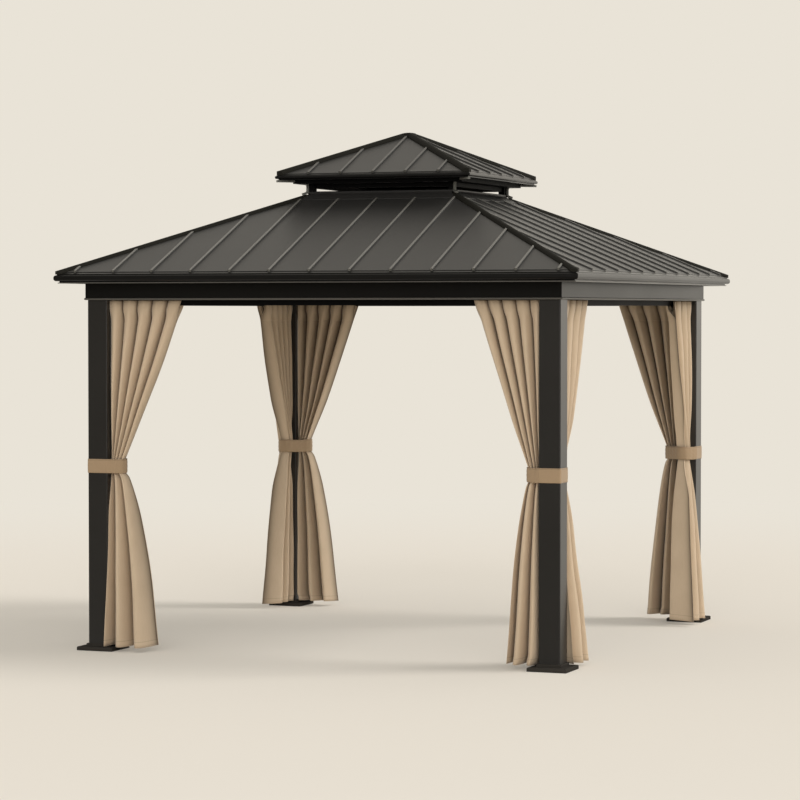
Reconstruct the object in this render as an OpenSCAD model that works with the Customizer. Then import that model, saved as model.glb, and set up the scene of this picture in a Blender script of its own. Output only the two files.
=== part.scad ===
// Square steel garden gazebo with a two-tier hard roof and tied-back curtains.
// Millimetres, +Z up, front towards -Y. The origin is on the ground at the centre.

/* [Plan] */
// Side of the main roof over its eaves
roof_side = 3050; // [2600:10:3900]
// Roof overhang past the post centres
overhang = 200; // [160:5:300]

/* [Posts and feet] */
// Height from the ground to the underside of the beams
clear_h = 1954; // [1700:2:2400]
// Width of a square post
post_w = 120; // [90:1:150]
// Wall of a post
post_wall = 2.5; // [1.5:0.5:5]
// Corner radius of a post
post_r = 6; // [3:1:12]
// Width of a foot's plate
foot_w = 218; // [180:1:280]
// Thickness of a foot's plate
foot_t = 22; // [12:1:30]
// Height of the collar on a foot
collar_h = 16; // [10:1:40]
// How far the collar stands out from the post
collar_w = 9; // [5:1:20]
// Steel under the end of a post
foot_floor = 6; // [4:1:10]

/* [Beams and curtain rails] */
// Height of a beam
beam_h = 120; // [110:1:150]
// Wall of a beam
beam_wall = 2.5; // [1.5:0.5:5]
// How far a beam's faces stand outside the post's
beam_proud = 9; // [4:1:16]
// How far the bead along a beam's lower edge stands out
bead_out = 6; // [3:1:8]
// Width of a curtain rail
rail_w = 16; // [12:1:26]
// Height of a curtain rail
rail_h = 30; // [20:1:40]

/* [Main roof] */
// Pitch of the main roof, in degrees
roof_pitch = 23; // [18:0.5:30]
// Height of beam that shows below the eave trim
beam_show = 92; // [70:1:100]
// Height of the eave trim
trim_h = 46; // [36:1:60]
// Depth of the eave trim
trim_d = 45; // [35:1:60]
// Width of the plain band between the eave's edge and the roof sheets
eave_band = 34; // [25:1:60]
// Thickness of a roof sheet
sheet_t = 3; // [1:0.5:5]
// Pans between ribs across one eave, an odd number
pans = 13; // [7:2:19]
// Width of a standing rib
rib_w = 15; // [8:1:25]
// Height of a standing rib
rib_h = 10; // [5:1:20]
// Side of the square neck under the vent
neck_side = 892; // [700:2:1100]
// Horizontal width of the flashing round the neck
flash_w = 59; // [40:1:90]
// Thickness of the flashing
flash_t = 2.5; // [1.5:0.5:4]
// Radius of the flashing's upward bend
flash_bend = 22; // [10:1:26]
// Radius of a hip cap
cap_r = 22; // [16:1:30]
// How far the axis of a hip cap lies below the ridge of the sheets
cap_sink = 8; // [4:1:10]
// How far the hip caps' lower ends stay inside the eave's edge
cap_end = 8; // [4:1:20]
// Distance of the hip caps' upper ends from the neck
cap_stop = 16; // [12:1:24]

/* [Roof frame] */
// Width of a rafter
rafter_w = 40; // [30:1:60]
// Length of the level seat of a rafter on the beam
rafter_seat = 40; // [20:1:60]
// Thickness of the neck frame
neck_t = 30; // [20:1:50]
// How far the neck frame stands above the roof line
neck_rise = 30; // [28:1:50]

/* [Vent and cupola] */
// Height of the vent opening
vent_h = 42; // [25:1:80]
// Width of a vent corner post
vent_post = 36; // [25:1:50]
// Height of the head bar across the vent, over the opening
vent_bar = 24; // [8:1:60]
// Thickness of the head bar
vent_bar_t = 12; // [6:1:20]
// Side of the cupola over its eaves
top_side = 1186; // [1100:2:1400]
// Pitch of the cupola roof, in degrees
top_pitch = 23; // [18:0.5:30]
// Height of the cupola's eave trim
top_trim_h = 24; // [20:1:40]
// Depth of the cupola's eave trim
top_trim_d = 30; // [20:1:40]
// Plain band at the edge of the cupola
top_band = 20; // [15:1:40]
// Pans between ribs across one eave of the cupola, an even number
top_pans = 6; // [4:2:8]
// Radius of a hip cap of the cupola
top_cap_r = 26; // [18:1:30]
// Rise of the domed cap at the apex
apex_rise = 5; // [3:1:20]
// How far its top lies below the height where the hip caps would meet
apex_drop = 6; // [0:1:12]
// Distance of the soffit's lip in from the cupola's edge
soffit_in = 79; // [60:1:100]
// Height of the soffit's lip below the cupola's eave trim
soffit_h = 20; // [12:1:30]
// Thickness of the soffit sheet
soffit_t = 3; // [2:0.5:5]
// How far the soffit reaches in past the vent posts
soffit_lap = 6; // [3:1:20]
// Depth of a cupola rafter
top_rafter_d = 34; // [25:1:50]
// How far the hub between the cupola rafters reaches below them
hub_drop = 8; // [4:1:20]
// Width of a curved corner arm
arm_w = 16; // [10:1:24]
// Thickness of a curved corner arm
arm_t = 12; // [8:1:20]
// Radius of an arm's upper bend
arm_bend = 30; // [20:1:40]
// Radius of an arm's lower bend
arm_toe_r = 14; // [12:1:30]
// Length of an arm's toe along the hip cap
arm_toe = 32; // [28:1:80]

/* [Curtains and tie bands] */
// Width of a curtain along its rail
curtain_w = 430; // [300:5:600]
// How far a tied curtain bunches out from the post
bunch_w = 82; // [60:1:120]
// Width of a curtain along its hem
hem_w = 300; // [180:5:400]
// Height of the hem above the ground
hem_z = 26; // [24:1:60]
// Half the depth of the folds round the rail
fold_rail = 37; // [24:1:50]
// Half the depth of a bunched curtain at the tie
fold_tie = 51; // [40:1:54]
// How far the folds reach inward of the post's centre line at the hem
fold_hem = 58; // [40:1:60]
// How far the hem flares outward of the post's centre line
flare_out = 145; // [70:1:180]
// How far the flared hem laps over the face of the post
hem_lap = 25; // [0:1:50]
// Height of the middle of the tie band
tie_z = 1030; // [900:5:1150]
// Height of a tie band
tie_h = 80; // [50:1:120]
// Thickness of a tie band
tie_t = 3; // [2:0.5:6]

/* [Hidden] */

STEEL = "#3a3936";
PANEL = "#4b4a47";
DARK = "#22211f";
CLOTH = "#c9b08b";
BAND = "#b59a78";
$fn = 48;

// Gap at a mitre or a sloping seat
gap = 0.3;
// Clearance of the cloth from what it hangs beside
ease = 0.5;
// Longer than anything in the model
far = 2 * roof_side;

roof_half = roof_side / 2;
post_at = roof_half - overhang;
post_half = post_w / 2;
beam_out = post_at + post_half + beam_proud;
beam_in = post_at - post_half - beam_proud;
beam_top = clear_h + beam_h;

eave_z = clear_h + beam_show + trim_h;
sheet_v = sheet_t / cos(roof_pitch);
neck_half = neck_side / 2;

// Height of the roof line, h mm out from the centre
function deck(h) = eave_z + (roof_half - h) * tan(roof_pitch);
// The same along a hip, s mm out along the diagonal
function hip_deck(s) = deck(s / sqrt(2));

rafter_v = deck(beam_out - rafter_seat) - beam_top;
neck_z = deck(neck_half) + neck_rise;

top_half = top_side / 2;
soffit_z = neck_z + vent_h;
top_trim_z = soffit_z + soffit_h;
top_eave_z = top_trim_z + top_trim_h;
top_sheet_v = sheet_t / cos(top_pitch);
soffit_half = top_half - soffit_in;
// Radius of the domed cap, 3 mm past the place where the caps on two hips would meet
apex_r = top_cap_r * sqrt(2) + 3;
function top_deck(h) = top_eave_z + (top_half - h) * tan(top_pitch);

// ---- shared shapes -------------------------------------------------------

// Points of an arc round c from angle a0 to a1
function arc(c, r, a0, a1, n = 8) =
  [for (i = [0 : n]) let (a = a0 + (a1 - a0) * i / n) c + r * [cos(a), sin(a)]];

// A (y, z) outline run along X, centred
module run(outline)
  rotate([90, 0, 90]) linear_extrude(far, center = true) polygon(outline);

// The quarter of the plan in front of both diagonals, less a gap square to them
module quarter(clear = gap)
  let (g = clear * sqrt(2))
    translate([0, 0, -far / 4])
      linear_extrude(far) polygon([[0, -g], [far, -g - far], [-far, -g - far]]);

// One mitred side of a square frame, from its (y, z) outline
module side(outline)
  intersection() {
    run(outline);
    quarter();
  }

// The four mitred sides
module frame(outline)
  for (i = [0 : 3]) rotate(90 * i) side(outline);

// An (s, z) outline in the plane of the front right hip, w mm thick
module in_hip(outline, w)
  rotate(-45) rotate([90, 0, 0]) linear_extrude(w, center = true) polygon(outline);

// A block w mm square in plan whose four sides follow a half outline of (h, z) points
module four_sided(half_outline, w)
  let (n = len(half_outline) - 1,
       outline = concat(half_outline, [for (i = [n : -1 : 0]) [-half_outline[i][0], half_outline[i][1]]]))
    intersection() {
      rotate([90, 0, 0]) linear_extrude(w, center = true) polygon(outline);
      rotate([90, 0, 90]) linear_extrude(w, center = true) polygon(outline);
    }

module round_square(w, r)
  union() {
    square([w, w - 2 * r], center = true);
    square([w - 2 * r, w], center = true);
    for (x = [-1, 1], y = [-1, 1]) translate([x, y] * (w / 2 - r)) circle(r);
  }

// Places its child at a post, with the child's +X and +Y towards the other posts
module at_post(side_x, side_y)
  translate([side_x * post_at, side_y * post_at, 0])
    mirror([side_x > 0 ? 1 : 0, 0, 0]) mirror([0, side_y > 0 ? 1 : 0, 0]) children();

// ---- posts, feet, beams, rails -------------------------------------------

module post(side_x, side_y)
  color(STEEL) at_post(side_x, side_y)
    translate([0, 0, foot_floor]) linear_extrude(clear_h - foot_floor)
      difference() {
        round_square(post_w, post_r);
        round_square(post_w - 2 * post_wall, post_r - post_wall);
      }

// A plate with a rounded upper edge and a collar round the post
module foot(side_x, side_y)
  let (edge_r = foot_t / 3, half = foot_w / 2, lip = post_half + collar_w, r = collar_w / 2,
       top = foot_t + collar_h)
    color(DARK) at_post(side_x, side_y)
      difference() {
        four_sided(concat(
          [[half, 0]],
          arc([half - edge_r, foot_t - edge_r], edge_r, 0, 90),
          [[lip, foot_t]],
          arc([lip - r, top - r], r, 0, 90)
        ), foot_w);
        translate([0, 0, foot_floor]) linear_extrude(far) round_square(post_w + 2 * gap, post_r + gap);
      }

// A box section with a rounded bead along the lower outside edge
module beam(turn)
  let (bead_r = bead_out, w = beam_wall)
    color(STEEL) rotate(90 * turn)
      intersection() {
        rotate([90, 0, 90]) linear_extrude(far, center = true)
          difference() {
            polygon(concat(
              [[-beam_in, clear_h], [-beam_in, beam_top], [-beam_out, beam_top]],
              arc([-beam_out, clear_h + bead_r], bead_r, 90, 270)
            ));
            translate([-beam_out + w, clear_h + w]) square([beam_out - beam_in - 2 * w, beam_h - 2 * w]);
          }
        quarter();
      }

// A C-shaped rail with its slot below, from post to post under each beam
module curtain_rails()
  let (length = 2 * (post_at - post_half), y = -post_at - rail_w / 2, w = 2, slot = 6)
    color(DARK) for (i = [0 : 3]) rotate(90 * i)
      translate([0, y, clear_h - rail_h]) rotate([90, 0, 90]) linear_extrude(length, center = true)
        difference() {
          square([rail_w, rail_h]);
          translate([w, w]) square([rail_w - 2 * w, rail_h - 2 * w]);
          translate([(rail_w - slot) / 2, -w]) square([slot, 3 * w]);
        }

// ---- main roof -------------------------------------------------------------

// Outline of an eave trim: a rounded bead over a strip that is set back and ends in a small lip
function trim_outline(half, z, h, d, pitch) =
  let (r = h * 0.3, strip = h * 0.26, back = d * 0.55, lip = d * 0.15, lip_t = strip * 0.4)
    concat(
      [[-half + d, z], [-half + d, z + h + d * tan(pitch)], [-half + r, z + h + r * tan(pitch)]],
      arc([-half + r, z + h - r], r, 90, 180, 6),
      arc([-half + r, z + strip + r], r, 180, 270, 6),
      [[-half + back, z + strip], [-half + back, z + lip_t],
       [-half + back - lip, z + lip_t], [-half + back - lip, z]]
    );

module eave_trim()
  color(STEEL) frame(trim_outline(roof_half, eave_z - trim_h, trim_h, trim_d, roof_pitch));

// One roof slope: a sheet with standing ribs, whose roof line starts at height line over the eave
module slope(half, band, top, pitch, line, pitch_of_ribs, ribs, rib_top, rib_side, thick_v)
  let (low = half - band, base = line + band * tan(pitch) + gap)
    union() {
      side([
        [-low, base], [-top, base + (low - top) * tan(pitch)],
        [-top, base + (low - top) * tan(pitch) + thick_v], [-low, base + thick_v]
      ]);
      intersection() {
        for (i = [-ribs : ribs])
          translate([i * pitch_of_ribs, -low, base]) rotate([pitch - 90, 0, 0])
            linear_extrude((low - rib_top) / cos(pitch))
              polygon([
                [-rib_w / 2, -sheet_t / 2], [-rib_w / 2, -sheet_t - rib_h * 0.7],
                [-rib_w * 0.3, -sheet_t - rib_h], [rib_w * 0.3, -sheet_t - rib_h],
                [rib_w / 2, -sheet_t - rib_h * 0.7], [rib_w / 2, -sheet_t / 2]
              ]);
        quarter(rib_side);
      }
    }

module roof(turn)
  color(PANEL) rotate(90 * turn)
    slope(roof_half, eave_band, neck_half + gap, roof_pitch, eave_z,
          roof_side / pans, (pans - 1) / 2, neck_half + flash_w + 1, cap_r + gap, sheet_v);

// The space under the sheets of a hipped roof
module under_roof(half, band, pitch, line, thick_v)
  let (low = half - band + gap, t = tan(pitch), lift = 2 * gap, past = 50, edge = half + past,
       side_points = [[edge, line - past * t + lift], [low, line + (half - low) * t + lift],
                      [low, line + (half - low) * t + lift + thick_v]],
       outline = concat([[edge, 0]], side_points, [[0, line + half * t + lift + thick_v]],
                        [for (i = [2 : -1 : 0]) [-side_points[i][0], side_points[i][1]]], [[-edge, 0]]))
    intersection_for (i = [0, 1]) rotate(90 * i) run(outline);

// A round bar along the front right hip, cut off square to the eaves, before the roof is cut out of it
module hip_bar(half, pitch, line, r)
  let (slope_angle = atan(tan(pitch) / sqrt(2)), reach = half - cap_end)
    intersection() {
      translate([0, 0, line + half * tan(pitch) - cap_sink])
        rotate([0, 90 + slope_angle, -45]) cylinder(h = 2 * half, r = r);
      translate([-half, -reach, 0]) cube([half + reach, half + reach, far]);
    }

module hip_caps()
  let (stop = neck_half + cap_stop)
    color(STEEL) for (i = [0 : 3]) rotate(90 * i)
      difference() {
        hip_bar(roof_half, roof_pitch, eave_z + sheet_v, cap_r);
        under_roof(roof_half, eave_band, roof_pitch, eave_z, sheet_v);
        translate([-stop, -stop, 0]) cube([2 * stop, 2 * stop, far]);
      }

// ---- roof frame --------------------------------------------------------------

// Outline of a rafter with a level seat, from heights given by distance
function rafter_outline(out, seat, inner, top_out, top_in, low_in, level) =
  [[out, level], [out, top_out], [inner, top_in], [inner, low_in], [seat, level]];

module middle_rafters()
  let (out = roof_half - trim_d - gap, inner = neck_half + gap, seat = beam_out - rafter_seat)
    color(DARK) for (i = [0 : 3]) rotate(90 * i)
      rotate([90, 0, -90]) linear_extrude(rafter_w, center = true)
        polygon(rafter_outline(out, seat, inner, deck(out), deck(inner),
                               deck(inner) - rafter_v, beam_top));

module hip_rafters()
  let (q = sqrt(2), drop = rafter_w / 2 * tan(roof_pitch) / q,
       out = (roof_half - trim_d) * q, inner = (neck_half - neck_t) * q,
       seat = (beam_out - rafter_seat) * q)
    color(DARK) for (i = [0 : 3]) rotate(90 * i)
      difference() {
        intersection() {
          in_hip(rafter_outline(out, seat, inner, hip_deck(out) - drop, hip_deck(inner) - drop,
                                hip_deck(inner) - rafter_v, beam_top), rafter_w);
          translate([0, -roof_half, 0])
            cube([roof_half - trim_d - gap, 2 * roof_half, far]);
          translate([0, -(roof_half - trim_d - gap), 0]) cube([roof_half, roof_half, far]);
        }
        translate([-1, -neck_half - gap, 0]) cube([neck_half + gap + 1, neck_half + gap + 1, far]);
      }

// Four deep bars round the neck, mitred at the corners
module neck_frame()
  let (low = deck(neck_half) - rafter_v, inner = neck_half - neck_t)
    color(DARK) frame([[-neck_half, low], [-inner, low], [-inner, neck_z], [-neck_half, neck_z]]);

// A strip on the upper edge of the sheets that turns up in a hollow curve against the neck frame
module neck_flashing()
  let (lift = 2 * gap + sheet_v, low = neck_half + flash_w, bend = flash_bend, t = flash_t,
       upstand = 1.5 * bend, c = [-neck_half - gap - bend, deck(neck_half + bend) + lift + upstand])
    color(PANEL) difference() {
      frame(concat(
        [[-low, deck(low) + lift], [-neck_half - gap, deck(neck_half) + lift],
         [-neck_half - gap, c[1]]],
        arc(c, bend - t, 0, roof_pitch - 90, 6),
        [[-low, deck(low) + lift + t]]
      ));
      for (i = [0 : 3]) rotate(90 * i) {
        hip_bar(roof_half, roof_pitch, eave_z + sheet_v, cap_r + gap);
        corner_arm(gap);
      }
    }

// ---- vent and cupola ------------------------------------------------------------

// A short post at each corner of the neck and a head bar between each two
module vent_frame()
  let (c = neck_half - vent_post / 2, bar = neck_side - 2 * vent_post - 2 * gap)
    color(DARK) for (i = [0 : 3]) rotate(90 * i) {
      translate([c, -c, neck_z + vent_h / 2]) cube([vent_post, vent_post, vent_h], center = true);
      translate([0, -c, soffit_z - vent_bar / 2]) cube([bar, vent_bar_t, vent_bar], center = true);
    }

// Centre line of a corner arm in the plane of the hip: up off the hip cap, then out to the eave
arm_in = neck_half * sqrt(2) + gap + arm_t / 2;
arm_out = (top_half - arm_w / 2) * sqrt(2);
arm_top = top_trim_z - gap - arm_t / 2;
hip_slope = atan(tan(roof_pitch) / sqrt(2));

// Height of an arm's centre line over the hip cap, s mm out along the diagonal
function toe_line(s) =
  hip_deck(s) + sheet_v - cap_sink + gap + (cap_r + arm_t / 2) / cos(hip_slope);

module corner_arm(extra = 0)
  let (t = arm_t / 2 + extra, q = arm_toe_r, r = arm_bend, toe = arm_in + arm_toe,
       toe_c = [arm_in + q, toe_line(arm_in + q) + q / cos(hip_slope)],
       top_c = [arm_in + r, arm_top - r],
       n = t * [sin(hip_slope), cos(hip_slope)])
    in_hip(concat(
      [[toe, toe_line(toe)] - n],
      arc(toe_c, q + t, 270 - hip_slope, 180),
      arc(top_c, r + t, 180, 90),
      [[arm_out, arm_top + t], [arm_out, arm_top - t]],
      arc(top_c, r - t, 90, 180),
      arc(toe_c, q - t, 180, 270 - hip_slope),
      [[toe, toe_line(toe)] + n]
    ), arm_w + 2 * extra);

module corner_arms()
  color(STEEL) for (i = [0 : 3]) rotate(90 * i) corner_arm();

module cupola_trim()
  color(STEEL) frame(trim_outline(top_half, top_trim_z, top_trim_h, top_trim_d, top_pitch));

module cupola(turn)
  color(PANEL) rotate(90 * turn)
    slope(top_half, top_band, 0, top_pitch, top_eave_z,
          top_side / top_pans, top_pans / 2 - 1, apex_r + 1, top_cap_r + gap, top_sheet_v);

// Four hip caps that stop at a domed cap over the apex
module cupola_caps()
  let (ball = (pow(apex_r, 2) + pow(apex_rise, 2)) / (2 * apex_rise),
       top = top_deck(0) + top_sheet_v + top_cap_r - cap_sink - apex_drop)
    color(STEEL) difference() {
      union() {
        for (i = [0 : 3]) rotate(90 * i) difference() {
          hip_bar(top_half, top_pitch, top_eave_z + top_sheet_v, top_cap_r);
          cylinder(h = far, r = apex_r + gap);
        }
        rotate_extrude()
          polygon(concat([[0, top_eave_z], [apex_r, top_eave_z]],
                         arc([0, top - ball], ball, acos(apex_r / ball), 90)));
      }
      under_roof(top_half, top_band, top_pitch, top_eave_z, top_sheet_v);
    }

// An L-shaped soffit strip under each eave, with slots at the corners for the arms
module cupola_soffit()
  let (inner = neck_half - vent_post - soffit_lap, t = soffit_t,
       high = top_deck(soffit_half) - top_rafter_d - gap)
    color(DARK) difference() {
      frame([
        [-soffit_half, soffit_z], [-inner, soffit_z], [-inner, soffit_z + t],
        [t - soffit_half, soffit_z + t], [t - soffit_half, high], [-soffit_half, high]
      ]);
      for (i = [0 : 3]) rotate(90 * i) corner_arm(gap);
    }

// Four hip rafters that meet a square hub under the apex
module cupola_rafters()
  let (q = sqrt(2), w = rafter_w * 0.75, drop = w / 2 * tan(top_pitch) / q,
       out = top_half - top_trim_d - gap, hub = w * 1.3, top = top_deck(0),
       hub_h = top_rafter_d - hub_drop)
    color(DARK) {
      for (i = [0 : 3]) rotate(90 * i) difference() {
        intersection() {
          in_hip([
            [out * q, top_deck(out) - drop], [0, top - drop],
            [0, top - top_rafter_d], [out * q, top_deck(out) - top_rafter_d]
          ], w);
          translate([0, -out, 0]) cube([out, out, far]);
        }
        rotate(45) translate([0, 0, top]) cube([hub + 2 * gap, hub + 2 * gap, top], center = true);
      }
      translate([0, 0, top - top_rafter_d - hub_drop + hub_h / 2]) rotate(45)
        cube([hub, hub, hub_h], center = true);
    }

// ---- curtains and tie bands ---------------------------------------------------

tie_low = tie_z - tie_h / 2;
tie_high = tie_z + tie_h / 2;

// Free edge of a curtain above the tie: height and width, as parts of the whole
SWAG = [[0.53, 0.7], [0.22, 0.45]];
// Free edge of its skirt below the tie: drop and added width, as parts of the whole
FLARE = [[0.12, 0.34], [0.4, 0.66]];

// A tied-back curtain beside a post, hung along +X from the post's inner face, with the rail in its heading.
// The first outline is seen from the front, the second from the end.
module curtain_shape()
  let (u = post_half + 2 * ease, span = clear_h - tie_high, rail = rail_w / 2 + 2 * ease,
       rail_low = clear_h - rail_h - 2 * ease, top = clear_h - gap, head = 200,
       low_u = u + collar_w + 2 * ease, low_z = foot_t + collar_h + 4 * ease)
    difference() {
      intersection() {
        rotate([90, 0, 0]) linear_extrude(far, center = true)
          polygon(concat(
            [[u, top], [u + curtain_w, top]],
            [for (p = SWAG) [u + curtain_w * p[1], tie_high + span * p[0]]],
            [[u + bunch_w, tie_high], [u + bunch_w, tie_low]],
            [for (p = FLARE) [u + bunch_w + (hem_w - bunch_w) * p[1], tie_low - (tie_low - hem_z) * p[0]]],
            [[u + hem_w, hem_z], [u - hem_lap, hem_z], [u, tie_low]]
          ));
        rotate([90, 0, 90]) linear_extrude(far, center = true)
          polygon([
            [-rail, top], [-fold_rail, top], [-fold_rail, clear_h - head],
            [-fold_tie, tie_high], [-fold_tie, tie_low], [-flare_out, hem_z],
            [fold_hem, hem_z], [fold_tie, tie_low], [fold_tie, tie_high],
            [fold_rail, clear_h - head], [fold_rail, top], [rail, top], [rail, rail_low], [-rail, rail_low]
          ]);
      }
      translate([u - far, -u, 0]) cube(far);
      translate([low_u - far, -low_u, low_z - far]) cube(far);
    }

// Front and back curtains hang along X
module curtain_x(side_x, side_y)
  color(CLOTH) at_post(side_x, side_y) curtain_shape();

// Left and right curtains hang along Y
module curtain_y(side_x, side_y)
  color(CLOTH) at_post(side_x, side_y) mirror([1, -1, 0]) curtain_shape();

// Plan of a band round the post and the two bunches beside it, grown by t mm
module tie_plan(t)
  let (a = post_half + ease, b = post_half + bunch_w + 4 * ease, inside = fold_tie + tie_t + t / 2,
       chamfer = 8 - t / 2)
    polygon([
      [-a - t, -a - t], [b - chamfer, -a - t], [b + t, chamfer - a], [b + t, inside],
      [inside, b + t], [chamfer - a, b + t], [-a - t, b - chamfer]
    ]);

module tie(side_x, side_y)
  color(BAND) at_post(side_x, side_y)
    translate([0, 0, tie_low]) linear_extrude(tie_h)
      difference() {
        tie_plan(tie_t);
        tie_plan(0);
      }

// ---- nodes --------------------------------------------------------------------

post(-1, -1);  // post_front_left
post(1, -1);  // post_front_right
post(-1, 1);  // post_back_left
post(1, 1);  // post_back_right
foot(-1, -1);  // foot_front_left
foot(1, -1);  // foot_front_right
foot(-1, 1);  // foot_back_left
foot(1, 1);  // foot_back_right
beam(0);  // beam_front
beam(1);  // beam_right
beam(2);  // beam_back
beam(3);  // beam_left
curtain_rails();
eave_trim();
roof(0);  // roof_front
roof(1);  // roof_right
roof(2);  // roof_back
roof(3);  // roof_left
hip_caps();
hip_rafters();
middle_rafters();
neck_frame();
neck_flashing();
vent_frame();
corner_arms();
cupola(0);  // cupola_front
cupola(1);  // cupola_right
cupola(2);  // cupola_back
cupola(3);  // cupola_left
cupola_caps();
cupola_trim();
cupola_soffit();
cupola_rafters();
curtain_x(-1, -1);  // curtain_front_left
curtain_x(1, -1);  // curtain_front_right
curtain_x(-1, 1);  // curtain_back_left
curtain_x(1, 1);  // curtain_back_right
curtain_y(-1, -1);  // curtain_left_front
curtain_y(-1, 1);  // curtain_left_back
curtain_y(1, -1);  // curtain_right_front
curtain_y(1, 1);  // curtain_right_back
tie(-1, -1);  // tie_front_left
tie(1, -1);  // tie_front_right
tie(-1, 1);  // tie_back_left
tie(1, 1);  // tie_back_right
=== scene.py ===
"""Looks for a square steel gazebo: powder-coated frame, coil-coated roof, curtains and tie bands."""

import math
from typing import NamedTuple

import bpy
import numpy as np
from bpy.props import FloatProperty, IntProperty, PointerProperty, StringProperty
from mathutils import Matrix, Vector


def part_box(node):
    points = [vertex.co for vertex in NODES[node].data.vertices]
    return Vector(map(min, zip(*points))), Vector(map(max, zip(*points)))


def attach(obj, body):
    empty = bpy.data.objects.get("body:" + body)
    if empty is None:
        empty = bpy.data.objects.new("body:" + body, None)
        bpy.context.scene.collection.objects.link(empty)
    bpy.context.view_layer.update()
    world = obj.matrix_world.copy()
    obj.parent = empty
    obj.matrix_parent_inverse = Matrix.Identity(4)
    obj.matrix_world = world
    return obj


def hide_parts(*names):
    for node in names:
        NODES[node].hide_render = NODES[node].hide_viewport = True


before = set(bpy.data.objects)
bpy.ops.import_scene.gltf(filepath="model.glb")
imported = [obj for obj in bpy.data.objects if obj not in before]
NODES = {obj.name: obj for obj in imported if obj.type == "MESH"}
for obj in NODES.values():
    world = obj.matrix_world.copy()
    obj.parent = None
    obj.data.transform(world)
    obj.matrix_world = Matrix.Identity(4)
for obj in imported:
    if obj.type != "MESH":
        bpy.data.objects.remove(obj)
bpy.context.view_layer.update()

bl_info = {
    "name": "Hardtop Gazebo",
    "version": (1, 0, 0),
    "blender": (4, 5, 0),
    "location": "View3D > Sidebar > Gazebo",
    "description": "Finishes, curtains and studio for a square two-tier gazebo",
    "category": "Object",
}

MM = 0.001
SIDES_X = {"left": -1, "right": 1}
SIDES_Y = {"front": -1, "back": 1}

# Places that the frame gives, in metres
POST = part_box("post_front_right")
POST_AT = (POST[0].x + POST[1].x) / 2
POST_HALF = (POST[1].x - POST[0].x) / 2
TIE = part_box("tie_front_right")
TIE_LOW, TIE_HIGH = TIE[0].z, TIE[1].z
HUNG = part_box("curtain_front_right")
HUNG_LENGTH = HUNG[1].z - HUNG[0].z
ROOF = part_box("eave_trim")
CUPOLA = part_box("cupola_trim")
BEAM_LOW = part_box("beam_front")[0].z
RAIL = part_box("curtain_rails")
RAIL_HIGH = RAIL[1].z - RAIL[0].z
RAIL_HALF = RAIL[1].y - POST_AT

# Spaces between the ribs across the main roof and across the cupola
PANS = 13
UPPER_PANS = 6

# Where a curtain hangs in its post's own frame: its top and hem, the seam of its heading under the
# rail, its edge beside the post, its width in the band, and how far it may flare outward and inward
TOP = HUNG[1].z - 2 * MM
HEM = HUNG[0].z + 1 * MM
SEWN = TOP - RAIL_HIGH - 90 * MM
NEAR = POST_HALF + 1.5 * MM
WAIST = 75 * MM
FLARE_OUT = -POST_AT - HUNG[0].y - 3 * MM
FLARE_IN = HUNG[1].y + POST_AT - 3 * MM
# Rows of points in the heading, and the share of a curtain's rows above its tie and in its band
HEADING_ROWS = 20
UPPER_SHARE = 0.52
BAND_SHARE = 0.08
# Distance of the stitched line from the edge, on a curtain's hem and on a band
HEM_STITCH = 35 * MM
BAND_STITCH = 7 * MM
# How far the bunches at the ties sit inward of the post's centre line, and half their breadth
BUNCH_IN = 6 * MM
BUNCH_HALF = 40 * MM
# Half the width of the studio's floor, and how far it lies under the feet
FLOOR_HALF = 120
FLOOR_DROP = 0.5 * MM


class Drape(NamedTuple):
    """How one curtain hangs.

    The widths and the lap over the post are in metres, and the flare is a part of FLARE_OUT. The folds
    say where the first one starts and how far they run past the last ridge, in turns. pinch is how much
    broader the outer ridges are than the grooves, and under 0 it is the grooves that are broader."""

    rail_width: float = 0.4
    hem_width: float = 0.235
    flare: float = 0.6
    rail_folds: tuple = (-0.5, 0)
    hem_folds: tuple = (-0.5, 0)
    pinch: float = -0.5
    lap: float = 0


# The curtains that hang differently from the plain Drape
DRAPES = {
    "curtain_front_left": Drape(0.438, 0.268, 0.92, (-0.2, 0.3), (0.12, 0.6), 0.75, 0.004),
    "curtain_front_right": Drape(0.374, 0.18, 0.6, (-0.2, 0.3), (-0.45, -0.15), 0.75),
    "curtain_right_front": Drape(0.415, 0.25, 0.85, (-0.9, -1), (-0.9, -0.5), 0.5),
    "curtain_right_back": Drape(0.396, 0.295, 1.0, (-0.25, -1), (-0.3, 0), 0.5, 0.022),
    "curtain_back_right": Drape(0.385, 0.22, rail_folds=(-0.5, -0.5)),
}


# ---- settings that a user would change --------------------------------------


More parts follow.
